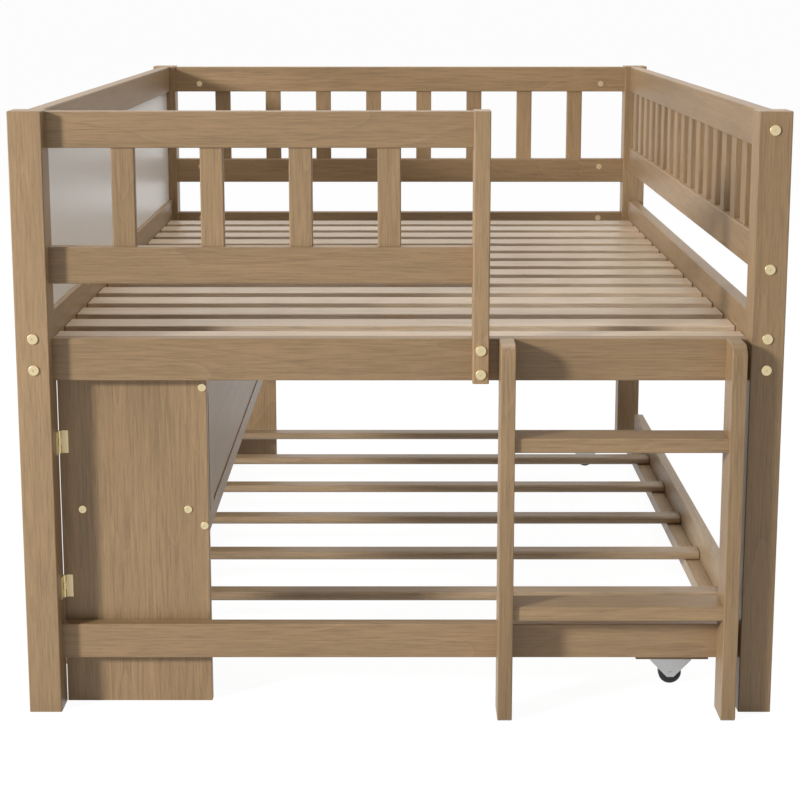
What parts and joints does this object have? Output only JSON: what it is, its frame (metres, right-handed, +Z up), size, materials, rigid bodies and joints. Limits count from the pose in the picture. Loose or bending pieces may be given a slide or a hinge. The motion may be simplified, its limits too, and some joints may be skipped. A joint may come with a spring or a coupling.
{
  "type": "low loft bed",
  "caption": "Low wooden loft bed with slatted guards, a short upright ladder, a swing-out bookcase under one side and a rolling slatted trundle.",
  "frame": {"origin": "centre of the bed's footprint, on the floor", "axes": "+Z up; -Y is the ladder end; +X is the side the trundle rolls out of; -X is the bookcase side"},
  "size_m": [1.454, 2.078, 1.17],
  "materials": {
    "wood_upright": "warm grey-brown stain, satin lacquer, grain upright",
    "wood_cross": "warm grey-brown stain, satin lacquer, grain across the bed",
    "wood_long": "warm grey-brown stain, satin lacquer, grain along the bed",
    "wood_case": "warm grey-brown stain, satin lacquer, grain upright",
    "wood_case_long": "warm grey-brown stain, satin lacquer, grain along the bed",
    "slat_wood": "pale sanded wood",
    "slat_wood_long": "pale sanded wood, grain along the bed",
    "trundle_slat_wood": "stained wood, satin",
    "trundle_wood": "stained wood, satin, grain along the bed",
    "board_face": "light grey laminated board, satin",
    "brass_fittings": "pale brass plating",
    "steel": "zinc grey",
    "wheel_black": "black"
  },
  "bodies": {
    "bed_frame": {"post_front_left": "wood_upright", "post_front_right": "wood_upright", "post_rear_left": "wood_upright", "post_rear_right": "wood_upright", "end_rail_front": "wood_cross", "end_rail_rear": "wood_cross", "lower_rail_front": "wood_cross", "guard_front_top_rail": "wood_cross", "guard_front_mid_rail": "wood_cross", "guard_front_balusters": "wood_upright", "guard_front_end_post": "wood_upright", "guard_rear_top_rail": "wood_cross", "guard_rear_mid_rail": "wood_cross", "guard_rear_balusters": "wood_upright", "side_rail_left": "wood_long", "side_rail_right": "wood_long", "top_rail_left": "wood_long", "guard_right_top_rail": "wood_long", "guard_right_mid_rail": "wood_long", "guard_right_balusters": "wood_upright", "frame_bolts": "brass_fittings", "frame_barrel_nuts": "brass_fittings", "frame_screws": "steel", "dowels": "wood_upright", "writing_board": "board_face", "slat_ledgers": "slat_wood_long", "centre_beam": "slat_wood_long", "beam_cleats": "wood_cross", "bed_slats": "slat_wood", "ladder_stringers": "wood_upright", "ladder_treads": "wood_cross", "hinge_leaves_fixed": "brass_fittings", "hinge_pins": "brass_fittings", "hinge_screws_post": "brass_fittings"},
    "bookcase": {"case_front_panel": "wood_case", "case_rear_panel": "wood_case", "case_shelf": "wood_case_long", "case_lower_rail": "wood_case_long", "case_upper_rail": "wood_case_long", "case_batten": "wood_case_long", "case_stiles": "wood_case", "case_back_panels": "wood_case_long", "case_dividers": "wood_case", "case_bolts": "brass_fittings", "case_screws": "steel", "hinge_leaves_moving": "brass_fittings", "hinge_screws_case": "brass_fittings"},
    "trundle": {"trundle_side_left": "trundle_wood", "trundle_side_right": "trundle_wood", "trundle_ledgers": "trundle_wood", "trundle_slats": "trundle_slat_wood", "trundle_screws": "steel", "caster_blocks": "trundle_slat_wood", "caster_brackets": "steel", "caster_axles": "steel"},
    "wheel_1": {"caster_wheel_1": "wheel_black"},
    "wheel_2": {"caster_wheel_2": "wheel_black"},
    "wheel_3": {"caster_wheel_3": "wheel_black"},
    "wheel_4": {"caster_wheel_4": "wheel_black"}
  },
  "joints": [
    {"name": "bookcase_swing", "type": "hinge", "parent": "bed_frame", "child": "bookcase", "pos_m": [-0.658, -0.9395, 0], "axis": [0, 0, 1], "range_deg": [0, 8]},
    {"name": "trundle_roll_out", "type": "slide", "parent": "bed_frame", "child": "trundle", "axis": [1, 0, 0], "range_m": [0, 1.2]},
    {"name": "wheel_1_spin", "type": "hinge", "parent": "trundle", "child": "wheel_1", "pos_m": [-0.549, -0.839, 0.023], "axis": [0, 1, 0], "continuous": true},
    {"name": "wheel_2_spin", "type": "hinge", "parent": "trundle", "child": "wheel_2", "pos_m": [0.549, -0.839, 0.023], "axis": [0, 1, 0], "continuous": true},
    {"name": "wheel_3_spin", "type": "hinge", "parent": "trundle", "child": "wheel_3", "pos_m": [-0.549, 0.835, 0.023], "axis": [0, 1, 0], "continuous": true},
    {"name": "wheel_4_spin", "type": "hinge", "parent": "trundle", "child": "wheel_4", "pos_m": [0.549, 0.835, 0.023], "axis": [0, 1, 0], "continuous": true}
  ],
  "couplings": [
    {"joint": "wheel_1_spin", "follows": "trundle_roll_out", "rad_per_m": 43.478},
    {"joint": "wheel_2_spin", "follows": "trundle_roll_out", "rad_per_m": 43.478},
    {"joint": "wheel_3_spin", "follows": "trundle_roll_out", "rad_per_m": 43.478},
    {"joint": "wheel_4_spin", "follows": "trundle_roll_out", "rad_per_m": 43.478}
  ]
}
